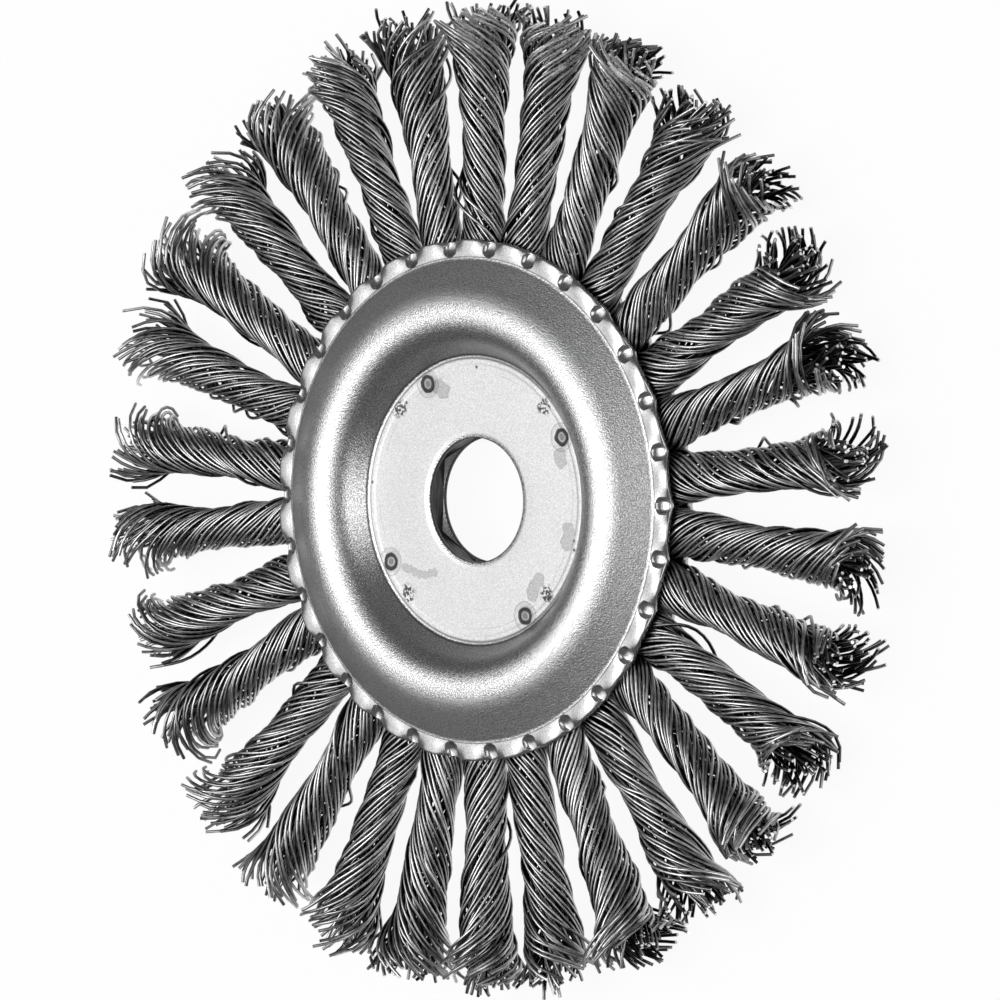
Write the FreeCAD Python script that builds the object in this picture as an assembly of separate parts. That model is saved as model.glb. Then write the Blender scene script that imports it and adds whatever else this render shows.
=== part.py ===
import FreeCAD, Part
import math
import os

# Twisted-knot wire wheel brush. Millimetres and degrees.
# The origin is at the middle of the bore, half way through the hub. Z is the wheel's axis.

# Hub
bore_diameter = 22.23
hexagon_clearance = 0.17
hexagon_turn = -8.7
core_thickness = 3.0
sheet_thickness = 1.0

# Flange pressing: a raised ring round the flat clamping face. Heights are above that face
crest_radius = 33.6
crest_height = 6.2
inner_round = 6.8
outer_round = 8.9
foot_to_crest = 7.6
foot_bevel = 0.6
crest_to_groove = 9.4
groove_height = 1.4

# Rim of the flange: high over each knot, pressed down between the knots
rim_width = 3.3
rim_swell = 0.28
rim_low_height = 0.74
rim_wave = 0.93

# Twisted part of a knot
knot_count = 30
tip_radius = 88.0
tip_width = 13.4
tip_unevenness = 1.1
tip_hollow = 2.0
neck_reach = 15.2
neck_width = 7.3
flare_power = 1.6
wire_rows = 4
row_depth = 0.26
knot_turn = 360.0
turn_steps = 8

# Folded end of a tuft, through its hole in the core plate
fold_width = 4.0
fold_length = 4.2
fold_inset = 8.4
fold_taper = 0.8

# Clearances
tuft_fit = 0.2
knot_gap = 0.28

# Places that follow from the sizes above
pitch = 360.0 / knot_count
bore_radius = bore_diameter / 2
core_face = core_thickness / 2
hub_face = core_face + sheet_thickness
foot = (crest_radius - foot_to_crest, 0.0)
groove = (crest_radius + crest_to_groove, groove_height)
rim_radius = groove[0] + rim_width
core_radius = groove[0]

# Corners round the flange, one over each knot and one between, and chords of each half of the crest
facets = 2 * knot_count
crest_chords = 2
under_inner_chords = 2
under_outer_chords = 1

axis_point = FreeCAD.Vector(0, 0, 0)
axis = FreeCAD.Vector(0, 0, 1)


def polar(radius, angle, height):
    """Point at an angle in degrees round the axis."""
    turn = math.radians(angle)
    return FreeCAD.Vector(radius * math.cos(turn), radius * math.sin(turn), height)


def polygon(points):
    """Flat face inside a ring of points."""
    return Part.Face(Part.makePolygon(points + points[:1]))


def skin(rings):
    """Triangular faces between each ring of points and the next."""
    faces = []
    for near, far in zip(rings, rings[1:]):
        for i in range(len(near)):
            j = (i + 1) % len(near)
            faces.append(polygon([near[i], near[j], far[j]]))
            faces.append(polygon([near[i], far[j], far[i]]))
    return faces


def closed(faces):
    """Solid inside a closed set of faces."""
    solid = Part.Solid(Part.Shell(faces))
    if solid.Volume < 0:
        solid.reverse()
    return solid


def flank_slope(flank_foot, round_radius, top=crest_height):
    """Slope, in radians from the flat, of a straight flank from its foot up to the crest's round."""
    across = abs(flank_foot[0] - crest_radius)
    up = flank_foot[1] - (top - round_radius)
    return math.pi / 2 - math.atan2(up, across) - math.acos(round_radius / math.hypot(across, up))


def half_crest(flank_foot, round_radius, top, chords):
    """Points from the top of the crest down its round to where the straight flank begins."""
    slope = flank_slope(flank_foot, round_radius, top)
    way = math.copysign(1, flank_foot[0] - crest_radius)
    points = []
    for i in range(chords + 1):
        lean = slope * i / chords
        points.append((crest_radius + way * round_radius * math.sin(lean),
                       top - round_radius * (1 - math.cos(lean))))
    return points


def crest(inner_foot, outer_foot, drop, inner_chords, outer_chords):
    """Points over the crest, from the inner flank to the outer one, on the outside or one sheet below."""
    top = crest_height - drop
    inner = half_crest(inner_foot, inner_round - drop, top, inner_chords)
    outer = half_crest(outer_foot, outer_round - drop, top, outer_chords)
    return inner[::-1] + outer[1:]


def under_groove_height():
    """Underside of the sheet at the groove, above the flat clamping face."""
    return groove_height - sheet_thickness / math.cos(flank_slope(groove, outer_round))


def flange_profile():
    """Half section of the sheet: outer side from the flat to the groove, then its underside back."""
    outside = [(foot[0] - foot_bevel, 0.0)] + crest(foot, groove, 0, crest_chords, crest_chords) + [groove]
    inner_slope = flank_slope(foot, inner_round)
    under_foot = (foot[0] + sheet_thickness * math.tan(inner_slope / 2), -sheet_thickness)
    under_groove = (groove[0], under_groove_height())
    under_crest = crest(under_foot, under_groove, sheet_thickness, under_inner_chords, under_outer_chords)
    return outside, [under_groove] + under_crest[::-1] + [under_foot]


def rim_ring(drop):
    """Wavy edge of the pressing, on the outside or one sheet below."""
    points = []
    for i in range(facets):
        over_knot = 1 - i % 2
        radius = rim_radius + rim_swell * over_knot
        height = hub_face + rim_low_height + rim_wave * over_knot - drop
        points.append(polar(radius, 360.0 * i / facets, height))
    return points


def flange():
    """Pressed sheet with a round bore and a rim waved once for each knot."""
    outside, underside = flange_profile()
    rings = [[polar(r, 360.0 * i / facets, hub_face + z) for i in range(facets)] for r, z in outside]
    rings += [rim_ring(0), rim_ring(sheet_thickness)]
    rings += [[polar(r, 360.0 * i / facets, hub_face + z) for i in range(facets)] for r, z in underside]
    pressing = closed(skin(rings) + [polygon(rings[0]), polygon(rings[-1])])
    bore = Part.makeCylinder(bore_radius, 2 * hub_face, axis_point, axis)
    return pressing.cut(bore)


def core_plate():
    """Flat plate with a hexagonal hole and one punched hole for each tuft."""
    below = FreeCAD.Vector(0, 0, -core_face)
    plate = Part.makeCylinder(core_radius, core_thickness, below, axis)
    corner = (bore_radius + hexagon_clearance / 2) / math.cos(math.radians(30))
    hexagon = polygon([polar(corner, hexagon_turn + 30 + 60 * i, -core_face) for i in range(6)])
    holes = [hexagon.extrude(axis * core_thickness)]
    length = fold_length + 2 * tuft_fit
    width = fold_width + 2 * tuft_fit
    corner = FreeCAD.Vector(core_radius - fold_inset - tuft_fit, -width / 2, -core_face)
    for n in range(knot_count):
        hole = Part.makeBox(length, width, core_thickness, corner)
        hole.rotate(axis_point, axis, pitch * n)
        holes.append(hole)
    return plate.cut(holes)


def knot_section(radius, width, thickness, turn=0, depth=0):
    """Ring of points across a knot: an oval with a ridge for each row of wires."""
    points = []
    for i in range(2 * wire_rows):
        angle = math.radians(turn + 180.0 * i / wire_rows)
        size = 1 - depth * (i % 2)
        points.append(FreeCAD.Vector(radius, width / 2 * size * math.cos(angle),
                                     thickness / 2 * size * math.sin(angle)))
    return points


def pitch_width(radius):
    """Room for one knot between its neighbours."""
    return 2 * radius * math.tan(math.radians(pitch / 2)) - knot_gap


def folded_sections():
    """The tuft's loop through the plate, then both its legs, spread flat to pass the groove."""
    start = core_radius - fold_inset
    end = start + fold_length
    root = core_radius + tuft_fit
    groove_room = 2 * (hub_face + under_groove_height() - tuft_fit)
    outer_slope = flank_slope(groove, outer_round)
    leg_room = groove_room + 2 * (core_radius - end) * math.tan(outer_slope) - 2 * tuft_fit
    return [
        knot_section(start, fold_width, leg_room * fold_taper),
        knot_section(end, fold_width, leg_room),
        knot_section(root, pitch_width(root), groove_room),
    ]


def twisted_sections():
    """From the rim, where the wires leave the flanges, past the narrow neck to the flared tip."""
    start = rim_radius + rim_swell
    neck = start + neck_reach
    root_width = pitch_width(start)
    root_thickness = 2 * (core_face + rim_low_height + rim_wave - tuft_fit)
    sections = []
    for step in range(turn_steps + 1):
        share = step / turn_steps
        radius = start + (tip_radius - start) * share
        if radius < neck:
            narrowing = (1 + math.cos(math.pi * (radius - start) / neck_reach)) / 2
            width = neck_width + (root_width - neck_width) * narrowing
            thickness = neck_width + (root_thickness - neck_width) * narrowing
        else:
            flare = ((radius - neck) / (tip_radius - neck)) ** flare_power
            width = neck_width + (tip_width - neck_width) * flare
            thickness = width
        sections.append(knot_section(radius, width, thickness, -knot_turn * share, row_depth * min(1, step)))
    return sections


def knot(number):
    """Tuft of wire folded through the plate, then twisted, every other one with the other hand."""
    sections = folded_sections() + twisted_sections()
    for i, point in enumerate(sections[-1]):
        point.x += tip_unevenness * math.sin(2.3 * i + 1.7 * number)
    hollow = FreeCAD.Vector(tip_radius - tip_hollow, 0, 0)
    tip = [polygon([sections[-1][i - 1], sections[-1][i], hollow]) for i in range(2 * wire_rows)]
    tuft = closed(skin(sections) + tip + [polygon(sections[0])])
    legs_apart = core_thickness + 2 * tuft_fit
    leg_length = fold_inset - fold_length + tuft_fit
    corner = FreeCAD.Vector(core_radius + tuft_fit - leg_length, -tip_width, -legs_apart / 2)
    tuft = tuft.cut(Part.makeBox(leg_length, 2 * tip_width, legs_apart, corner))
    if number % 2:
        tuft = tuft.mirror(axis_point, FreeCAD.Vector(0, 1, 0))
    tuft.rotate(axis_point, axis, pitch * (number - 1))
    return tuft


def write(name, shape):
    shape.exportStep("parts/" + name + ".step")


os.makedirs("parts", exist_ok=True)
front_flange = flange()
rear_flange = front_flange.copy()
rear_flange.rotate(axis_point, FreeCAD.Vector(1, 0, 0), 180)
write("front_flange", front_flange)
write("rear_flange", rear_flange)
write("core_plate", core_plate())
for number in range(1, knot_count + 1):
    write("knot_%02d" % number, knot(number))
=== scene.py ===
import math
import bpy
from mathutils import Matrix, Vector


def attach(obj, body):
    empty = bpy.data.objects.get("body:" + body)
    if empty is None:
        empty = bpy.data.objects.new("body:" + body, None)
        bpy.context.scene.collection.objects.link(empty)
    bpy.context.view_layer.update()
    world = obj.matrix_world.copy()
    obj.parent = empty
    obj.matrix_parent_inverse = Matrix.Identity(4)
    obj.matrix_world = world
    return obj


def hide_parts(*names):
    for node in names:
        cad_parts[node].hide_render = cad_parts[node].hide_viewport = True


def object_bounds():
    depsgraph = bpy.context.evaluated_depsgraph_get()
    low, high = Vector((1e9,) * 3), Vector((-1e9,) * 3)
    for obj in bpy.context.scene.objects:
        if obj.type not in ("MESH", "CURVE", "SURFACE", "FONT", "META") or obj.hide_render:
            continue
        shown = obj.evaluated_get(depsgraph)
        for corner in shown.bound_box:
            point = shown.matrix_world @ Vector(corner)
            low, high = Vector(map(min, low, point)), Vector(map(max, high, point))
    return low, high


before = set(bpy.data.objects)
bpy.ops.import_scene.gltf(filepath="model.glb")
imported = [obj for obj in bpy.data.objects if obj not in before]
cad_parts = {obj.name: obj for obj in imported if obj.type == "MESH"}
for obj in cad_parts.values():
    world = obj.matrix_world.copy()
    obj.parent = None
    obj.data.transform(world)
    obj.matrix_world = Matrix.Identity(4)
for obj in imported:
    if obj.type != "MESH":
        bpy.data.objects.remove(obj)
cad_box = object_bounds()
scene = bpy.context.scene
scene.view_settings.view_transform = "Standard"


# Camera
# It looks down on the wheel where it lies flat, 42 degrees off the wheel's axis, through a long lens
# from a metre and a half away.
camera_tilt = math.radians(41.661)
camera_roll = math.radians(-2.512)
camera_azimuth = math.radians(-2.84)
camera_distance = 1.55937
camera_aside = 0.0044
aim_height = 0.0025
level = Vector((0, 1, 0))
towards = Vector((math.sin(camera_tilt), 0, math.cos(camera_tilt)))
across = level.cross(towards).normalized()
upright = towards.cross(across)
rolled = Matrix.Rotation(camera_roll, 3, towards)
camera_data = bpy.data.cameras.new("camera")
camera_data.lens = 314.6
camera_data.sensor_width = 36
camera_data.clip_end = 50
camera = bpy.data.objects.new("camera", camera_data)
scene.collection.objects.link(camera)
axes = Matrix((rolled @ across, rolled @ upright, towards)).transposed().to_4x4()
stand = towards * camera_distance + rolled @ across * camera_aside + Vector((0, 0, aim_height))
camera.matrix_world = Matrix.Rotation(camera_azimuth, 4, "Z") @ Matrix.Translation(stand) @ axes
scene.camera = camera


# Centre plate
# A flat ring of 3 mm steel with a hexagonal hole, left raw. The flanges are welded to it, and each tuft of
# wire is folded through a hole of its own near its edge. Only the walls of the hexagon can be seen.
def add(tree, kind, *sources, **settings):
    """Node of a kind with its settings, its inputs joined or filled in order."""
    node = tree.nodes.new(kind)
    for name, value in settings.items():
        setattr(node, name, value)
    for socket, source in zip(node.inputs, sources):
        if isinstance(source, bpy.types.NodeSocket):
            tree.links.new(source, socket)
        elif source is not None:
            socket.default_value = source
    return node


def calc(tree, operation, *values):
    """Result of a sum on sockets and numbers."""
    return add(tree, "ShaderNodeMath", *values, operation=operation).outputs[0]


def ramp(tree, source, *stops):
    """Grey that follows the stops (place, brightness) from black to white."""
    node = add(tree, "ShaderNodeValToRGB", source)
    while len(node.color_ramp.elements) < len(stops):
        node.color_ramp.elements.new(0.5)
    for element, (place, brightness) in zip(node.color_ramp.elements, stops):
        element.position = place
        element.color = (brightness, brightness, brightness, 1)
    return node.outputs[0]


def noise(tree, place, scale, detail):
    """Soft random pattern, scale in features a metre."""
    node = add(tree, "ShaderNodeTexNoise", place)
    node.inputs["Scale"].default_value = scale
    node.inputs["Detail"].default_value = detail
    return node.outputs["Fac"]


def new_metal(name):
    """Material of bare metal, its tree, its shader and the Object coordinates."""
    material = bpy.data.materials.new(name)
    material.use_nodes = True
    tree = material.node_tree
    shader = tree.nodes["Principled BSDF"]
    shader.inputs["Metallic"].default_value = 1.0
    place = tree.nodes.new("ShaderNodeTexCoord").outputs["Object"]
    return material, tree, shader, place


def bumped(tree, shader, height, depth):
    """Bump node that gives a shader the relief of a pattern, so many metres deep."""
    node = add(tree, "ShaderNodeBump")
    node.inputs["Distance"].default_value = depth
    tree.links.new(height, node.inputs["Height"])
    tree.links.new(node.outputs[0], shader.inputs["Normal"])
    return node


raw_steel, tree, shader, place = new_metal("raw_steel")
along_sheet = (1, 1, 12)
streaks = add(tree, "ShaderNodeVectorMath", place, along_sheet, operation="MULTIPLY").outputs[0]
mill_marks = noise(tree, streaks, 400, 4)
tree.links.new(ramp(tree, mill_marks, (0.3, 0.02), (0.7, 0.08)), shader.inputs["Base Color"])
tree.links.new(ramp(tree, mill_marks, (0.3, 0.55), (0.7, 0.3)), shader.inputs["Roughness"])
bumped(tree, shader, mill_marks, 0.00003)
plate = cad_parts["core_plate"]
plate.data.materials.clear()
plate.data.materials.append(raw_steel)


# Wire knots
# Thirty tufts of hard 0.6 mm steel wire, each folded through the plate and then twisted into a knot, every
# other one with the other hand. The ends are cut, not ground, so they fan out and stand at uneven lengths.
knot_count = 30
knot_pitch = 360 / knot_count
wire_radius = 0.00031
wire_sides = 6
wires_in_layers = (25, 16, 26)
outer_points = 37
fewer_middle_points = 5
fewer_inner_points = 18
knot_start = 0.04658
knot_neck = 0.06178
knot_tip = 0.0884
under_rim = 0.003
inner_reach = 0.016
ragged_ends = 0.0036
root_width = 0.00951
root_thickness = 0.0055
neck_width = 0.0078
tip_width = 0.0134
flare_power = 1.5
knot_turns = 1.15
tip_turns = 0.12
core_thicker = 1.2
side_room = 0.0087
height_room = 0.00838
dusty_tips = [(0.0835, 80.0), (0.083, 68.5), (0.084, 57.0)]
dust_height = 0.004


def polar(radius, azimuth, height):
    """Place at a radius and an azimuth in degrees."""
    turn = math.radians(azimuth)
    return radius * math.cos(turn), radius * math.sin(turn), height


def nearest(tree, place, spots):
    """Distance to the nearest of these spots."""
    least = None
    for spot in spots:
        far = add(tree, "ShaderNodeVectorMath", place, spot, operation="DISTANCE").outputs["Value"]
        least = far if least is None else calc(tree, "MINIMUM", least, far)
    return least


wire_steel, tree, shader, place = new_metal("wire_steel")
wire_tone = add(tree, "ShaderNodeAttribute", attribute_name="wire_tone").outputs["Fac"]
cut_end = add(tree, "ShaderNodeAttribute", attribute_name="cut_end").outputs["Fac"]
# Mask for painted shade: low on the flanks of each wire that face into the knot, high on its crown
painted_flank_shade = add(tree, "ShaderNodeAttribute", attribute_name="painted_shade_mask").outputs["Fac"]
stains = noise(tree, place, 900, 3)
grey = ramp(tree, wire_tone, (0.0, 0.34), (1.0, 0.85))
grey = calc(tree, "MULTIPLY", grey, ramp(tree, stains, (0.3, 0.6), (0.7, 1.0)))
# Painted shade between the wires: the base colour falls to nearly black where the mask is low
grey = calc(tree, "MULTIPLY", grey, ramp(tree, painted_flank_shade, (0.63, 0.03), (0.94, 1.0)))
grey = calc(tree, "ADD", grey, calc(tree, "MULTIPLY", cut_end, 0.4))
dust_reach = nearest(tree, place, [polar(radius, azimuth, dust_height) for radius, azimuth in dusty_tips])
dust = ramp(tree, dust_reach, (0.004, 1.0), (0.0085, 0.0))
dust = calc(tree, "MULTIPLY", dust, ramp(tree, noise(tree, place, 2600, 2), (0.46, 0.0), (0.53, 1.0)))
grey = calc(tree, "MAXIMUM", grey, calc(tree, "MULTIPLY", dust, 0.5))
tree.links.new(grey, shader.inputs["Base Color"])
tree.links.new(calc(tree, "MULTIPLY_ADD", dust, -0.85, 1.0), shader.inputs["Metallic"])
rough = calc(tree, "MULTIPLY_ADD", dust, 0.4, ramp(tree, stains, (0.3, 0.25), (0.7, 0.38)))
tree.links.new(rough, shader.inputs["Roughness"])
bumped(tree, shader, noise(tree, place, 6000, 1), 0.00001)

knot_tree = bpy.data.node_groups.new("twisted knot", "GeometryNodeTree")
sockets = knot_tree.interface
sockets.new_socket("Geometry", in_out="INPUT", socket_type="NodeSocketGeometry")
sockets.new_socket("Geometry", in_out="OUTPUT", socket_type="NodeSocketGeometry")
for name in ("Outer Wires", "Middle Wires", "Inner Wires", "Seed"):
    sockets.new_socket(name, in_out="INPUT", socket_type="NodeSocketInt")
for name in ("Wire Radius", "Start", "Neck", "Tip", "Root Width", "Root Thickness", "Neck Width", "Tip Width",
             "Flare Power", "Turns", "End Turns", "Ragged", "Azimuth"):
    sockets.new_socket(name, in_out="INPUT", socket_type="NodeSocketFloat")
sockets.new_socket("Material", in_out="INPUT", socket_type="NodeSocketMaterial")
given = knot_tree.nodes.new("NodeGroupInput").outputs


def knot_calc(operation, *values):
    """Result of a sum in the knot's tree."""
    return calc(knot_tree, operation, *values)


def chance(low, high, salt, group=None):
    """Random number for each wire, or for each group of them, the same each time."""
    node = add(knot_tree, "FunctionNodeRandomValue", data_type="FLOAT")
    node.inputs[2].default_value = low
    node.inputs[3].default_value = high
    knot_tree.links.new(wire if group is None else group, node.inputs["ID"])
    knot_tree.links.new(knot_calc("ADD", knot_calc("MULTIPLY", given["Seed"], 40), salt), node.inputs["Seed"])
    return node.outputs[1]


def mixed(start, end, share):
    """Value between two others."""
    return knot_calc("MULTIPLY_ADD", knot_calc("SUBTRACT", end, start), share, start)


def from_to(value, low, high):
    """Share from 0 to 1 as a value goes from low to high."""
    share = knot_calc("DIVIDE", knot_calc("SUBTRACT", value, low), knot_calc("SUBTRACT", high, low))
    return add(knot_tree, "ShaderNodeClamp", share).outputs[0]


def within(value, room):
    """Value held within this room on either side of nought."""
    return knot_calc("MINIMUM", knot_calc("MAXIMUM", value, -room), room)


# The wires in order: the outer layer, the middle one, and the short inner ones that show between the cut ends
straight_line = add(knot_tree, "GeometryNodeCurvePrimitiveLine")
all_but_inner = knot_calc("ADD", given["Outer Wires"], given["Middle Wires"])
all_wires = knot_calc("ADD", all_but_inner, given["Inner Wires"])
copies = add(knot_tree, "GeometryNodeDuplicateElements", domain="SPLINE")
knot_tree.links.new(straight_line.outputs[0], copies.inputs["Geometry"])
knot_tree.links.new(all_wires, copies.inputs["Amount"])
wire = copies.outputs["Duplicate Index"]
bunch = knot_calc("FLOOR", knot_calc("DIVIDE", wire, 4))
whole_knot = given["Seed"]
beyond_outer = knot_calc("GREATER_THAN", wire, knot_calc("SUBTRACT", given["Outer Wires"], 0.5))
is_inner = knot_calc("GREATER_THAN", wire, knot_calc("SUBTRACT", all_but_inner, 0.5))
points = knot_calc("SUBTRACT", outer_points, knot_calc("MULTIPLY", beyond_outer, fewer_middle_points))
points = knot_calc("SUBTRACT", points, knot_calc("MULTIPLY", is_inner, fewer_inner_points))
strands = add(knot_tree, "GeometryNodeResampleCurve")
knot_tree.links.new(copies.outputs["Geometry"], strands.inputs["Curve"])
knot_tree.links.new(points, strands.inputs["Count"])

# Place of a wire round the knot before it is twisted
place_in_layer = knot_calc("SUBTRACT", wire, knot_calc("MULTIPLY", beyond_outer, given["Outer Wires"]))
place_in_layer = knot_calc("SUBTRACT", place_in_layer, knot_calc("MULTIPLY", is_inner, given["Middle Wires"]))
layer_wires = mixed(given["Outer Wires"], given["Middle Wires"], beyond_outer)
layer_wires = mixed(layer_wires, given["Inner Wires"], is_inner)
own_angle = knot_calc("ADD", place_in_layer, chance(-0.2, 0.2, 2))
own_angle = knot_calc("MULTIPLY_ADD", beyond_outer, 0.5, own_angle)
own_angle = knot_calc("MULTIPLY", knot_calc("DIVIDE", own_angle, layer_wires), 2 * math.pi)

# Distance out from the wheel's axis, from under the rim of the flanges to each wire's own cut end
share_of_wire = add(knot_tree, "GeometryNodeSplineParameter").outputs["Factor"]
wire_start = knot_calc("SUBTRACT", given["Start"], under_rim)
wire_start = mixed(wire_start, knot_calc("SUBTRACT", given["Tip"], inner_reach), is_inner)
cut_short = knot_calc("ADD", chance(-0.55, 0.2, 1, bunch), chance(-0.45, 0.15, 17))
cut_wave = knot_calc("SINE", knot_calc("ADD", own_angle, given["Seed"]))
cut_short = knot_calc("MULTIPLY_ADD", cut_wave, 0.2, cut_short)
wire_end = knot_calc("MULTIPLY_ADD", given["Ragged"], cut_short, given["Tip"])
collar = mixed(chance(0.0003, 0.0024, 23, whole_knot), 0.0, is_inner)
wire_end = knot_calc("SUBTRACT", wire_end, collar)
out = mixed(wire_start, wire_end, share_of_wire)
from_start = knot_calc("SUBTRACT", out, given["Start"])
share = knot_calc("DIVIDE", from_start, knot_calc("SUBTRACT", given["Tip"], given["Start"]))

# Half width and half thickness of the knot there: wide at the rim, narrow at the neck, flared at the tip
narrowing = knot_calc("COSINE", knot_calc("MULTIPLY", from_to(out, given["Start"], given["Neck"]), math.pi))
narrowing = knot_calc("MULTIPLY_ADD", narrowing, 0.5, 0.5)
past_neck = knot_calc("MAXIMUM", knot_calc("SUBTRACT", out, given["Neck"]), 0)
flare = knot_calc("DIVIDE", past_neck, knot_calc("SUBTRACT", given["Tip"], given["Neck"]))
flare = knot_calc("POWER", flare, given["Flare Power"])
own_tip_width = knot_calc("MULTIPLY", given["Tip Width"], chance(0.88, 1.04, 21, whole_knot))
body_width = mixed(given["Neck Width"], own_tip_width, flare)
body_thickness = knot_calc("MULTIPLY", body_width, knot_calc("MULTIPLY_ADD", flare, 0.24, 1.0))
inset = knot_calc("MULTIPLY", given["Wire Radius"], -1)
half_width = mixed(body_width, given["Root Width"], narrowing)
half_width = knot_calc("MULTIPLY_ADD", half_width, 0.5, inset)
half_thickness = mixed(body_thickness, given["Root Thickness"], narrowing)
half_thickness = knot_calc("MULTIPLY_ADD", half_thickness, 0.5, inset)

# Turned with the twist, which tightens at the tip, where some bunches have sprung back
drift_place = add(knot_tree, "ShaderNodeCombineXYZ", knot_calc("MULTIPLY", wire, 1.7),
                  knot_calc("MULTIPLY", out, 110), given["Seed"]).outputs[0]
drift = knot_calc("SUBTRACT", noise(knot_tree, drift_place, 1.0, 1.0), 0.5)
near_end = knot_calc("POWER", from_to(out, knot_calc("SUBTRACT", wire_end, 0.008), wire_end), 1.6)
turns = knot_calc("MULTIPLY", share, knot_calc("MULTIPLY", given["Turns"], chance(0.9, 1.14, 20, whole_knot)))
end_turns = knot_calc("MULTIPLY", given["End Turns"], chance(0.3, 1.5, 24, whole_knot))
end_turns = knot_calc("MULTIPLY", end_turns, knot_calc("MULTIPLY_ADD", is_inner, -0.8, 1.0))
turns = knot_calc("MULTIPLY_ADD", near_end, end_turns, turns)
sprung = knot_calc("ADD", chance(-0.04, 0.14, 3, bunch), chance(-0.03, 0.05, 14))
sprung = knot_calc("MULTIPLY", knot_calc("MULTIPLY", near_end, sprung), knot_calc("SIGN", given["Turns"]))
turns = knot_calc("SUBTRACT", turns, sprung)
angle = knot_calc("MULTIPLY_ADD", turns, 2 * math.pi, own_angle)
angle = knot_calc("MULTIPLY_ADD", drift, 0.28, angle)

# How far from the knot's middle a wire lies: in two strands of bunches, some proud. In the knot's body each
# middle wire stands for the two or three that fill the core, and is as thick as they are
in_body = knot_calc("MULTIPLY_ADD", narrowing, -0.55, 1.0)
in_body = knot_calc("MULTIPLY", in_body, knot_calc("SUBTRACT", 1.0, flare))
core = knot_calc("MULTIPLY", knot_calc("SUBTRACT", beyond_outer, is_inner), in_body)
depth = knot_calc("SUBTRACT", 0.95, knot_calc("MULTIPLY", beyond_outer, 0.1))
depth = knot_calc("SUBTRACT", depth, knot_calc("MULTIPLY", core, 0.22))
depth = knot_calc("SUBTRACT", depth, knot_calc("MULTIPLY", is_inner, chance(0.05, 0.85, 4)))
two_strands = knot_calc("SINE", knot_calc("MULTIPLY_ADD", own_angle, 2, given["Seed"]))
bunches = knot_calc("MULTIPLY_ADD", own_angle, 5, knot_calc("MULTIPLY", given["Seed"], 1.7))
bunches = knot_calc("SINE", bunches)
depth = knot_calc("MULTIPLY_ADD", two_strands, 0.055, depth)
depth = knot_calc("MULTIPLY_ADD", bunches, 0.05, depth)
depth = knot_calc("ADD", depth, chance(-0.05, 0.05, 5))
depth = knot_calc("MULTIPLY_ADD", drift, knot_calc("MULTIPLY_ADD", share, 0.25, 0.1), depth)

# A few wires have sprung out of the knot in a bow, and the cut ends splay and stray
bow = knot_calc("ABSOLUTE", knot_calc("SUBTRACT", out, chance(0.052, 0.078, 6)))
bow = knot_calc("SUBTRACT", 1.0, knot_calc("DIVIDE", bow, chance(0.0045, 0.009, 7)))
bow = add(knot_tree, "ShaderNodeClamp", bow).outputs[0]
bow = knot_calc("POWER", knot_calc("SINE", knot_calc("MULTIPLY", bow, math.pi / 2)), 2)
bow = knot_calc("MULTIPLY", bow, chance(0.0005, 0.002, 8))
bow = knot_calc("MULTIPLY", bow, knot_calc("GREATER_THAN", chance(0, 1, 9), 0.94))
splay = knot_calc("ADD", chance(-0.0006, 0.0026, 10, bunch), chance(-0.0005, 0.001, 15))
splay = knot_calc("MULTIPLY", splay, knot_calc("MULTIPLY_ADD", is_inner, -0.4, 1.0))
lift = knot_calc("MULTIPLY_ADD", near_end, splay, bow)
side = knot_calc("MULTIPLY", knot_calc("MULTIPLY_ADD", half_width, depth, lift), knot_calc("COSINE", angle))
rise = knot_calc("MULTIPLY", knot_calc("MULTIPLY_ADD", half_thickness, depth, lift), knot_calc("SINE", angle))
astray = knot_calc("ADD", chance(-0.0007, 0.0007, 11, bunch), chance(-0.0007, 0.0007, 16))
side = knot_calc("MULTIPLY_ADD", near_end, astray, side)
rise = knot_calc("MULTIPLY_ADD", near_end, chance(-0.0008, 0.0008, 12), rise)
lean = knot_calc("POWER", knot_calc("MAXIMUM", share, 0), 2)
lean = knot_calc("MULTIPLY", lean, chance(-0.0007, 0.0007, 22, whole_knot))
side = within(knot_calc("ADD", side, lean), side_room)
rise = within(rise, height_room)
laid = add(knot_tree, "ShaderNodeCombineXYZ", out, side, rise).outputs[0]


def turned_about_axis(vector, angle):
    """Vector turned about the wheel's axis."""
    node = add(knot_tree, "ShaderNodeVectorRotate", rotation_type="Z_AXIS")
    knot_tree.links.new(vector, node.inputs["Vector"])
    knot_tree.links.new(angle, node.inputs["Angle"])
    return node.outputs[0]


def stored(geometry, name, value, domain):
    """Geometry with a value kept on it under a name."""
    node = add(knot_tree, "GeometryNodeStoreNamedAttribute", data_type="FLOAT", domain=domain)
    node.inputs["Name"].default_value = name
    knot_tree.links.new(geometry, node.inputs["Geometry"])
    knot_tree.links.new(value, node.inputs["Value"])
    return node.outputs[0]


def kept(name):
    """Value that was kept on the geometry under a name."""
    return add(knot_tree, "GeometryNodeInputNamedAttribute", name, data_type="FLOAT").outputs[0]


# Round wire along each line, in its place on the wheel
thickness = add(knot_tree, "GeometryNodeCaptureAttribute", domain="POINT")
thickness.capture_items.new("FLOAT", "thickness")
knot_tree.links.new(strands.outputs[0], thickness.inputs["Geometry"])
knot_tree.links.new(knot_calc("MULTIPLY_ADD", core, core_thicker, 1.0), thickness.inputs["thickness"])
placed = add(knot_tree, "GeometryNodeSetPosition")
knot_tree.links.new(thickness.outputs["Geometry"], placed.inputs["Geometry"])
knot_tree.links.new(turned_about_axis(laid, given["Azimuth"]), placed.inputs["Position"])
thickened = add(knot_tree, "GeometryNodeSetCurveRadius")
knot_tree.links.new(placed.outputs[0], thickened.inputs["Curve"])
knot_tree.links.new(thickness.outputs["thickness"], thickened.inputs["Radius"])
lines = stored(thickened.outputs[0], "wire_tone", chance(0, 1, 13), "CURVE")
lines = stored(lines, "along", share_of_wire, "POINT")
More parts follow.
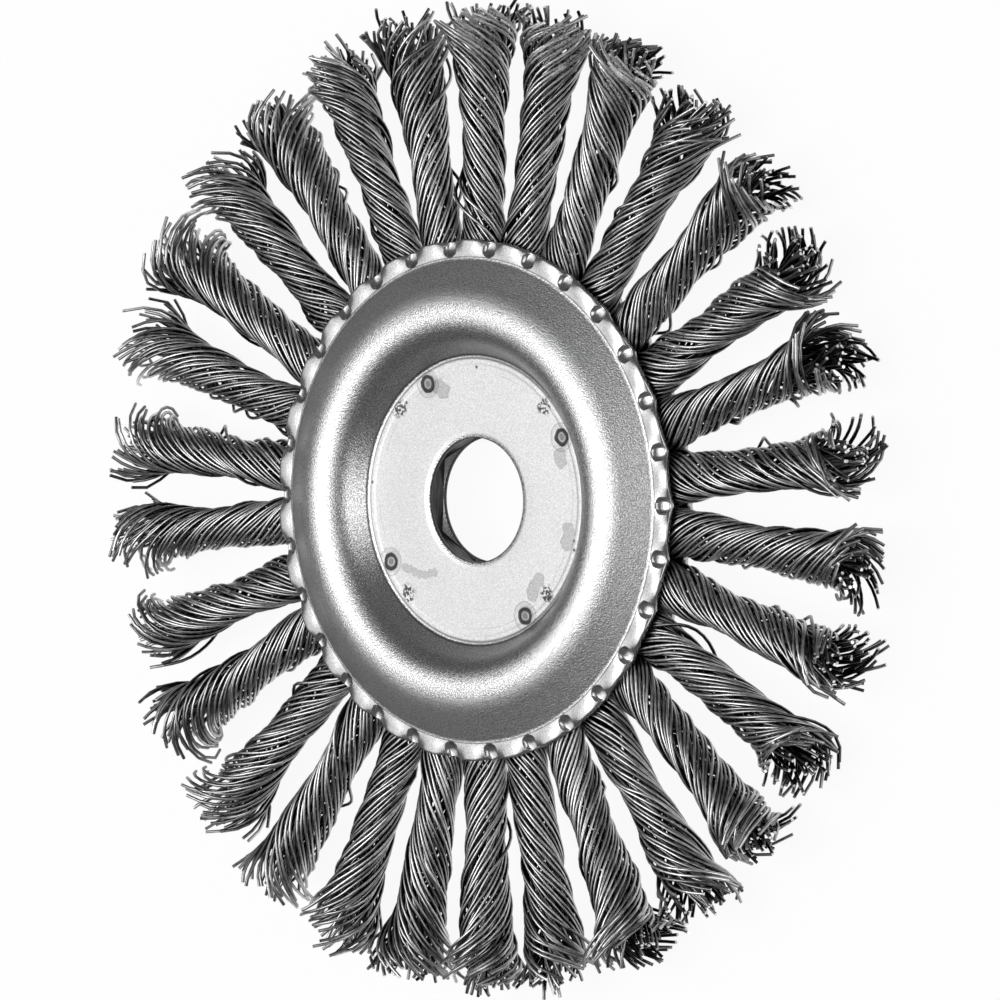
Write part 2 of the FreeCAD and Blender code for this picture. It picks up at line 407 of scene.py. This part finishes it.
round_wire = add(knot_tree, "GeometryNodeCurvePrimitiveCircle")
round_wire.inputs["Resolution"].default_value = wire_sides
knot_tree.links.new(given["Wire Radius"], round_wire.inputs["Radius"])
drawn_wires = add(knot_tree, "GeometryNodeCurveToMesh")
knot_tree.links.new(lines, drawn_wires.inputs["Curve"])
knot_tree.links.new(round_wire.outputs[0], drawn_wires.inputs["Profile Curve"])
drawn_wires.inputs["Fill Caps"].default_value = True

# Each wire is painted darker on its flanks that face into the knot, as painted shade between the wires, and
# left bright on its crown that faces out. The painted shade is weaker towards the cut end, and the cut end
# itself is brighter
along = kept("along")
position = knot_tree.nodes.new("GeometryNodeInputPosition").outputs[0]
normal = knot_tree.nodes.new("GeometryNodeInputNormal").outputs[0]
unturned = turned_about_axis(position, knot_calc("MULTIPLY", given["Azimuth"], -1))
apart = add(knot_tree, "ShaderNodeSeparateXYZ", unturned).outputs
away = add(knot_tree, "ShaderNodeCombineXYZ", 0.0, apart[1], apart[2]).outputs[0]
away = turned_about_axis(away, given["Azimuth"])
away = add(knot_tree, "ShaderNodeVectorMath", away, operation="NORMALIZE").outputs[0]
facing = add(knot_tree, "ShaderNodeVectorMath", away, normal, operation="DOT_PRODUCT").outputs["Value"]
# Near the cut end the painted shade mask is raised, so the painted shade there is weaker
tip_shade_mask = knot_calc("MULTIPLY_ADD", kept("wire_tone"), 0.22, 0.75)
at_tip = knot_calc("MULTIPLY", from_to(along, 0.78, 0.94), 0.75)
painted_shade_mask = mixed(knot_calc("MULTIPLY_ADD", facing, 0.5, 0.5), tip_shade_mask, at_tip)
corners = add(knot_tree, "GeometryNodeInputMeshFaceNeighbors").outputs["Vertex Count"]
is_cap = knot_calc("GREATER_THAN", corners, 4.5)
wires = stored(drawn_wires.outputs[0], "painted_shade_mask", painted_shade_mask, "POINT")
wires = stored(wires, "cut_end", knot_calc("MULTIPLY", is_cap, knot_calc("GREATER_THAN", along, 0.5)), "FACE")
smooth = add(knot_tree, "GeometryNodeSetShadeSmooth")
knot_tree.links.new(wires, smooth.inputs["Geometry"])
knot_tree.links.new(knot_calc("LESS_THAN", corners, 4.5), smooth.inputs["Shade Smooth"])
real = add(knot_tree, "GeometryNodeRealizeInstances", smooth.outputs[0])
steel = add(knot_tree, "GeometryNodeSetMaterial")
knot_tree.links.new(real.outputs[0], steel.inputs["Geometry"])
knot_tree.links.new(given["Material"], steel.inputs["Material"])
add(knot_tree, "NodeGroupOutput", steel.outputs[0])


def grown(name, tree, values):
    """Plain mesh object that a tree makes with these inputs."""
    carrier = bpy.data.objects.new(name + "_tree", bpy.data.meshes.new(name + "_tree"))
    scene.collection.objects.link(carrier)
    modifier = carrier.modifiers.new("nodes", "NODES")
    modifier.node_group = tree
    for item in tree.interface.items_tree:
        if item.in_out == "INPUT" and item.name in values:
            modifier[item.identifier] = values[item.name]
    evaluated = carrier.evaluated_get(bpy.context.evaluated_depsgraph_get())
    piece = bpy.data.objects.new(name, bpy.data.meshes.new_from_object(evaluated))
    scene.collection.objects.link(piece)
    bpy.data.objects.remove(carrier)
    return piece


outer_wires, middle_wires, inner_wires = wires_in_layers
for number in range(1, knot_count + 1):
    hand = 1 if number % 2 else -1
    knot = grown("wire_knot_%02d" % number, knot_tree, {
        "Outer Wires": outer_wires, "Middle Wires": middle_wires, "Inner Wires": inner_wires, "Seed": number,
        "Wire Radius": wire_radius, "Start": knot_start, "Neck": knot_neck, "Tip": knot_tip,
        "Root Width": root_width, "Root Thickness": root_thickness, "Neck Width": neck_width,
        "Tip Width": tip_width, "Flare Power": flare_power, "Turns": knot_turns * hand,
        "End Turns": tip_turns * hand, "Ragged": ragged_ends,
        "Azimuth": math.radians(knot_pitch * (number - 1)), "Material": wire_steel})
    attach(knot, "root")
    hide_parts("knot_%02d" % number)


# Flanges
# Two pressings of 1 mm zinc-plated steel sheet, with a raised ring and a rim pressed down between the knots,
# where each low place has a round dent. Spot welds join them to the plate and have spat on the front one.
sheet = 0.001
bore_radius = 0.011115
bore_edge_width = 0.00022
bore_edge_drop = 0.00028
bore_edge_rings = 6
face_height = 0.0025
flat_radii = (0.0155, 0.0195, 0.0215)
weld_place = 0.0235
weld_azimuths = (23.5, 112.9, -156.6, -66.0)
weld_band = 0.0218
weld_band_width = 0.0002
electrode_radius = 0.0013
electrode_width = 0.0003
electrode_depth = 0.00011
nugget_radius = 0.0008
nugget_depth = 0.00005
face_border = 0.0244
face_border_width = 0.00028
face_border_lift = 0.00006
foot_crease = 0.02536
foot_crease_depth = 0.00007
foot_radius = 0.026
foot_bend = 0.001
inner_round = 0.0068
crest_radius = 0.0336
crest_height = 0.0087
outer_round = 0.0089
groove_radius = 0.043
groove_height = 0.0041
groove_bend = 0.0012
rim_start_radii = (0.0436, 0.04374, 0.04388)
rim_rings = 11
rim_radius = 0.0463
rim_swell = 0.00028
rim_lift = 0.00012
rim_crown = 0.00012
high_edge = 0.00415
low_edge = 0.0032
low_half_width = 0.0004
low_to_high = 0.0034
edge_round = 0.0003
edge_points = ((0.00012, 0.00003), (0.00003, 0.00012), (0.0, 0.00028), (0.0, 0.00082), (0.00018, sheet))
dent_place = 0.045
dent_radius = 0.00142
punch_radius = 0.00164
under_rim_radii = (0.0457, 0.0451, 0.0445, 0.0439)
under_groove_radii = (0.0433, 0.0432)
under_groove_height = groove_height - sheet * 1.2
under_foot_radius = 0.0266
under_face_radius = 0.018


def flank_slope(foot_r, foot_z, round_radius, top):
    """Slope, in radians from the flat, of a straight flank from its foot up to the crest's round."""
    aside = abs(foot_r - crest_radius)
    up = foot_z - (top - round_radius)
    return math.pi / 2 - math.atan2(up, aside) - math.acos(round_radius / math.hypot(aside, up))


def flank(foot_r, foot_z, round_radius, top, count):
    """Points from where a straight flank touches the crest's round up to the crest's top."""
    slope = flank_slope(foot_r, foot_z, round_radius, top)
    way = 1 if foot_r > crest_radius else -1
    leans = [slope * (1 - i / count) for i in range(count + 1)]
    return [(crest_radius + way * round_radius * math.sin(lean),
             top - round_radius * (1 - math.cos(lean))) for lean in leans]


def rounded(corner_r, corner_z, way_in, way_out, radius, count):
    """Points of a round in place of a corner. The ways into it and out of it are angles from the flat."""
    turn = way_out - way_in
    back = radius * math.tan(abs(turn) / 2)
    side = math.copysign(radius, turn)
    ways = [way_in + turn * i / count for i in range(count + 1)]
    return [(corner_r - back * math.cos(way_in) + side * (math.sin(way) - math.sin(way_in)),
             corner_z - back * math.sin(way_in) - side * (math.cos(way) - math.cos(way_in))) for way in ways]


def from_middle(radius, azimuth):
    """Distance, round the wheel, to the middle of the nearest low place between two knots."""
    pitch = 2 * math.pi / knot_count
    return abs((azimuth / pitch) % 1 - 0.5) * pitch * radius


def over_knot(radius, azimuth):
    """1 over a knot, 0 in the low place between two."""
    part = (from_middle(radius, azimuth) - low_half_width) / low_to_high
    part = min(max(part, 0), 1)
    return part * part * (3 - 2 * part)


def dent(radius, azimuth):
    """Depth of the round dent in the low place nearest to this point, as a ball-ended punch leaves it."""
    along = (radius - dent_place) / dent_radius
    half_height = math.sqrt(max(1e-6, 1 - along * along)) * dent_radius
    across = min(1, from_middle(radius, azimuth) / half_height)
    edge = math.sqrt(punch_radius ** 2 - dent_radius ** 2)
    deep = math.sqrt(punch_radius ** 2 - (min(1, abs(along)) * dent_radius) ** 2) - edge
    return deep * (1 - across ** 6)


def rim_height(radius, azimuth, width):
    """Height of the rim's top side, where the rim is so wide from the groove to its edge."""
    part = max(0, (radius - groove_radius) / width)
    high = over_knot(radius, azimuth)
    top = groove_height + rim_lift * part + rim_crown * math.cos(azimuth * knot_count) * min(1, 2 * part)
    falls = high * (top - high_edge) + (1 - high) * (top - low_edge)
    return top - falls * part ** 3 - dent(radius, azimuth)


def weld_dip(radius, azimuth, weld_turns):
    """Depth of the mark of the electrode and of the weld's nugget."""
    far = min(math.hypot(radius * math.cos(azimuth) - weld_place * math.cos(turn),
                         radius * math.sin(azimuth) - weld_place * math.sin(turn)) for turn in weld_turns)
    electrode = electrode_depth * math.exp(-((far - electrode_radius) / electrode_width) ** 2)
    return electrode + nugget_depth * math.exp(-(far / nugget_radius) ** 2)


def pressed_section(azimuth, weld_turns):
    """Section of the sheet at an azimuth: its top side from the bore to the rim, then its underside back."""
    points = []
    for i in range(bore_edge_rings + 1):
        drop = bore_edge_drop * (1 - i / bore_edge_rings) ** 2
        points.append((bore_radius + bore_edge_width * i, face_height - drop))
    points += [(radius, face_height) for radius in flat_radii]
    for i in range(13):
        radius = weld_band + weld_band_width * i
        points.append((radius, face_height - weld_dip(radius, azimuth, weld_turns)))
    for i in range(4):
        radius = face_border + face_border_width * i
        points.append((radius, face_height + face_border_lift - weld_dip(radius, azimuth, weld_turns)))
    points.append((foot_crease, face_height - foot_crease_depth))
    inner_slope = flank_slope(foot_radius, face_height, inner_round, crest_height)
    outer_slope = flank_slope(groove_radius, groove_height, outer_round, crest_height)
    points += rounded(foot_radius, face_height, 0, inner_slope, foot_bend, 5)
    points += flank(foot_radius, face_height, inner_round, crest_height, 11)
    points += flank(groove_radius, groove_height, outer_round, crest_height, 10)[-2::-1]
    points += rounded(groove_radius, groove_height, -outer_slope, 0, groove_bend, 4)
    edge = rim_radius + rim_swell * over_knot(rim_radius, azimuth)
    width = edge - groove_radius
    rim_start = rim_start_radii[-1]
    rim_radii = list(rim_start_radii)
    for i in range(1, rim_rings + 1):
        rim_radii.append(rim_start + (edge - edge_round - rim_start) * i / rim_rings)
    points += [(radius, rim_height(radius, azimuth, width)) for radius in rim_radii]
    edge_height = rim_height(edge, azimuth, width)
    points += [(edge - inward, edge_height - down) for inward, down in edge_points]
    points += [(radius, rim_height(radius, azimuth, width) - sheet) for radius in under_rim_radii]
    points.append((under_groove_radii[0], under_groove_height))
    under_crest = crest_height - sheet
    under_face = face_height - sheet
    points += flank(under_groove_radii[1], under_groove_height, outer_round - sheet, under_crest, 4)
    points += flank(under_foot_radius, under_face, inner_round - sheet, under_crest, 4)[-2::-1]
    return points + [(radius, under_face) for radius in (under_foot_radius, under_face_radius, bore_radius)]


# Sections lie close together in each low place, for its dent, and wider apart over a knot
fine_reach = 2.1
azimuths = []
for n in range(knot_count):
    low_place = knot_pitch * (n + 0.5)
    azimuths += [low_place + 0.3 * i for i in range(-7, 8)]
    azimuths += [low_place + fine_reach + 0.78 * i for i in range(1, 10)]


def pressing_mesh(name, weld_turns):
    """Closed mesh of a whole pressing, from its sections."""
    sections = [pressed_section(math.radians(azimuth), weld_turns) for azimuth in azimuths]
    section_points = len(sections[0])
    vertices = []
    for azimuth, section in zip(azimuths, sections):
        vertices += [polar(radius, azimuth, height) for radius, height in section]
    faces = []
    for i in range(len(azimuths)):
        here = i * section_points
        there = (i + 1) % len(azimuths) * section_points
        for k in range(section_points):
            m = (k + 1) % section_points
            faces.append((here + k, here + m, there + m, there + k))
    mesh = bpy.data.meshes.new(name)
    mesh.from_pydata(vertices, [], faces)
    mesh.polygons.foreach_set("use_smooth", [True] * len(faces))
    return mesh


# Zinc plating: satin on the clamping face, brighter with a sandy peel on the ring, smooth on the rim. The
# stops of the ramps on "ring" are places out from the axis, where 1 is 50 mm
zinc, tree, shader, place = new_metal("zinc_plated_sheet")
axis_parts = add(tree, "ShaderNodeSeparateXYZ", place).outputs
flat_place = add(tree, "ShaderNodeCombineXYZ", axis_parts[0], axis_parts[1], 0.0).outputs[0]
from_axis = add(tree, "ShaderNodeVectorMath", flat_place, operation="LENGTH").outputs["Value"]
ring = calc(tree, "MULTIPLY", from_axis, 20)
on_face = ramp(tree, ring, (0.235, 0.0), (0.248, 1.0), (0.505, 1.0), (0.515, 0.0))
off_face = calc(tree, "SUBTRACT", 1.0, on_face)
on_outer_slope = ramp(tree, ring, (0.7, 0.0), (0.78, 1.0), (0.85, 1.0), (0.87, 0.0))
on_rim = calc(tree, "GREATER_THAN", from_axis, 0.0434)
in_bore = calc(tree, "LESS_THAN", from_axis, bore_radius + 0.00004)
on_front = calc(tree, "GREATER_THAN", axis_parts[2], 0.0)
grain = noise(tree, place, 4900, 2)
sand = noise(tree, place, 3700, 3)
patches = noise(tree, place, 130, 3)
wobble = calc(tree, "MULTIPLY_ADD", noise(tree, place, 700, 3), 0.5, -0.25)


def reach(spots, size, unevenness=1.0):
    """Distance to the nearest of some marks on the sheet, in their own size, with an uneven edge."""
    far = nearest(tree, flat_place, [polar(spot_radius, azimuth, 0.0) for spot_radius, azimuth in spots])
    return calc(tree, "MULTIPLY_ADD", far, 1 / size, calc(tree, "MULTIPLY", wobble, unevenness))


def off_ring(radius, source=from_axis):
    """Distance, in fifths of a millimetre, from a ring round the axis."""
    return calc(tree, "MULTIPLY", calc(tree, "ABSOLUTE", calc(tree, "SUBTRACT", source, radius)), 5000)


# Marks of the welding: an electrode ring with a grey halo, dark spatter beside it, and grey smudges
weld_far = reach([(weld_place, azimuth) for azimuth in weld_azimuths], 0.0043, 0.3)
weld_marks = ramp(tree, weld_far, (0.03, 0.3), (0.08, 0.42), (0.11, 0.16), (0.14, 0.6), (0.19, 0.5),
                  (0.23, 0.1), (0.36, 0.08), (0.4, 0.82), (0.54, 0.86), (0.59, 0.62), (0.62, 1.0))
spatter_spots = [(0.0235, 39.6), (0.0242, 132.8), (0.0236, -139.2), (0.0235, -50.0)]
speck_spots = [(0.02496, 167.8), (0.02375, 83.1), (0.02435, -21.9), (0.0249, -25.5), (0.0238, 128.0)]
specks = ramp(tree, noise(tree, place, 1900, 2), (0.45, 0.0), (0.5, 1.0))
spatter = calc(tree, "MULTIPLY", ramp(tree, reach(spatter_spots, 0.004), (0.3, 1.0), (0.46, 0.0)), specks)
spatter = calc(tree, "MAXIMUM", spatter, ramp(tree, reach(speck_spots, 0.001), (0.15, 1.0), (0.4, 0.0)))
smudge_spots = [(0.0208, 105.0), (0.0215, 106.2), (0.022, 107.5), (0.0218, 16.5), (0.0216, 14.0)]
smudge_spots += [(0.0226, -18.5), (0.0228, -21.5), (0.0227, -24.0)]
smudge_spots += [(0.0204, -49.0), (0.0206, -52.5), (0.0212, -56.5)]
smudges = ramp(tree, reach(smudge_spots, 0.003), (0.36, 0.8), (0.46, 1.0), (0.49, 0.0))
smear_spots = [(0.0211, -149.5), (0.0204, -147.0), (0.0198, -144.0), (0.0191, -140.5), (0.0183, -137.5)]
smear_spots += [(0.0174, -135.0), (0.0165, -133.0)]
smear = ramp(tree, reach(smear_spots, 0.002), (0.25, 0.7), (0.38, 0.8), (0.45, 0.0))
smudges = calc(tree, "MAXIMUM", smudges, smear)
line_wobble = calc(tree, "MULTIPLY_ADD", noise(tree, place, 200, 2), 0.0006, -0.0003)
faint_circle = off_ring(0.02305, calc(tree, "ADD", from_axis, line_wobble))
faint_circle = ramp(tree, faint_circle, (0.2, 1.0), (0.9, 0.0))
faint_circle = calc(tree, "MULTIPLY", faint_circle, ramp(tree, patches, (0.45, 0.0), (0.6, 1.0)))
dark = calc(tree, "MAXIMUM", calc(tree, "MULTIPLY", spatter, 0.86), calc(tree, "MULTIPLY", smudges, 0.36))
dark = calc(tree, "MAXIMUM", dark, calc(tree, "MULTIPLY", faint_circle, 0.16))
dark = calc(tree, "MULTIPLY", dark, calc(tree, "MULTIPLY", on_front, on_face))
clean = calc(tree, "MULTIPLY", calc(tree, "SUBTRACT", 1.0, dark), weld_marks)

# Speckle of the plating, painted shade as a dark line in each crease, and the wall of the bore, which has no
# plating
speckle = calc(tree, "MULTIPLY", on_face, ramp(tree, grain, (0.36, 0.45), (0.64, 0.66)))
speckle = calc(tree, "MULTIPLY_ADD", off_face, ramp(tree, sand, (0.38, 0.36), (0.62, 0.66)), speckle)
speckle = calc(tree, "MULTIPLY", speckle, calc(tree, "MULTIPLY_ADD", on_rim, -0.7, 1.0))
speckle = calc(tree, "MULTIPLY_ADD", on_rim, 0.3, speckle)
grey = calc(tree, "MULTIPLY", speckle, clean)
# Painted shade: a thin dark line along the groove, the foot of the ring and the crease beside it
for crease_radius, darkness in ((0.0434, 0.4), (0.02604, 0.5), (0.02535, 0.45)):
    painted_crease_shade = ramp(tree, off_ring(crease_radius), (0.35, darkness), (0.9, 1.0))
    grey = calc(tree, "MULTIPLY", grey, painted_crease_shade)
grey = calc(tree, "MULTIPLY", grey, calc(tree, "MULTIPLY_ADD", in_bore, -0.9, 1.0))
tree.links.new(grey, shader.inputs["Base Color"])
rough = calc(tree, "MULTIPLY_ADD", patches, 0.06, 0.23)
rough = calc(tree, "MULTIPLY_ADD", on_face, 0.24, rough)
rough = calc(tree, "MULTIPLY_ADD", on_outer_slope, 0.13, rough)
tree.links.new(rough, shader.inputs["Roughness"])
peel = bumped(tree, shader, sand, 0.00012)
relief = calc(tree, "MULTIPLY_ADD", on_face, -0.54, calc(tree, "MULTIPLY_ADD", on_outer_slope, 0.36, 0.64))
tree.links.new(calc(tree, "MULTIPLY_ADD", on_rim, -0.5, relief), peel.inputs["Strength"])

for name, over in (("front_flange", False), ("rear_flange", True)):
    weld_turns = [math.radians(-azimuth if over else azimuth) for azimuth in weld_azimuths]
    mesh = pressing_mesh("pressed_" + name, weld_turns)
    if over:
        mesh.transform(Matrix.Rotation(math.pi, 4, "X"))
    mesh.update()
    mesh.materials.append(zinc)
    pressing = bpy.data.objects.new("pressed_" + name, mesh)
    scene.collection.objects.link(pressing)
    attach(pressing, "root")
    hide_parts(name)


# Floor and light
# A plain white floor under the wheel and a dim room. A broad soft box with a brighter middle hangs high on
# the left, and a low lamp stands on the right.
floor_reach = 5
floor_below = 0.00002
white_glow = 0.93
room_light = 0.15
floor_height = cad_box[0][2] - floor_below
floor_corners = [(-floor_reach, -floor_reach, floor_height), (floor_reach, -floor_reach, floor_height),
                 (floor_reach, floor_reach, floor_height), (-floor_reach, floor_reach, floor_height)]
floor_mesh = bpy.data.meshes.new("floor")
floor_mesh.from_pydata(floor_corners, [], [(0, 1, 2, 3)])
floor = bpy.data.objects.new("floor", floor_mesh)
scene.collection.objects.link(floor)
floor_paint = bpy.data.materials.new("white_floor")
floor_paint.use_nodes = True
tree = floor_paint.node_tree
shader = tree.nodes["Principled BSDF"]
shader.inputs["Base Color"].default_value = (0.97, 0.97, 0.97, 1)
shader.inputs["Roughness"].default_value = 0.9
shader.inputs["Specular IOR Level"].default_value = 0.0
ray = tree.nodes.new("ShaderNodeLightPath").outputs
seen = calc(tree, "MAXIMUM", ray["Is Camera Ray"], ray["Is Glossy Ray"])
seen = calc(tree, "MAXIMUM", seen, ray["Is Transmission Ray"])
glow = add(tree, "ShaderNodeEmission", (1, 1, 1, 1), 1.0)
blend = add(tree, "ShaderNodeMixShader", calc(tree, "MULTIPLY", seen, white_glow), shader.outputs[0],
            glow.outputs[0])
tree.links.new(blend.outputs[0], tree.nodes["Material Output"].inputs["Surface"])
floor_mesh.materials.append(floor_paint)


def soft_lamp(name, place, width, height, brightness):
    """Square soft box that faces the wheel."""
    data = bpy.data.lights.new(name, "AREA")
    data.shape = "RECTANGLE"
    data.size = width
    data.size_y = height
    data.energy = brightness * math.pi * width * height
    lamp = bpy.data.objects.new(name, data)
    lamp.matrix_world = Matrix.Translation(place) @ Vector(place).to_track_quat("Z", "Y").to_matrix().to_4x4()
    lamp.visible_camera = False
    scene.collection.objects.link(lamp)


soft_lamp("soft_box", (-0.18, 0.01, 0.68), 0.72, 1.15, 1.25)
soft_lamp("soft_box_middle", (-0.17, 0.01, 0.66), 0.24, 0.4, 4.6)
soft_lamp("low_lamp", (0.78, -0.04, 0.24), 0.7, 0.42, 2.4)
world = bpy.data.worlds.new("room")
scene.world = world
world.use_nodes = True
world.node_tree.nodes["Background"].inputs["Color"].default_value = (1, 1, 1, 1)
world.node_tree.nodes["Background"].inputs["Strength"].default_value = room_light
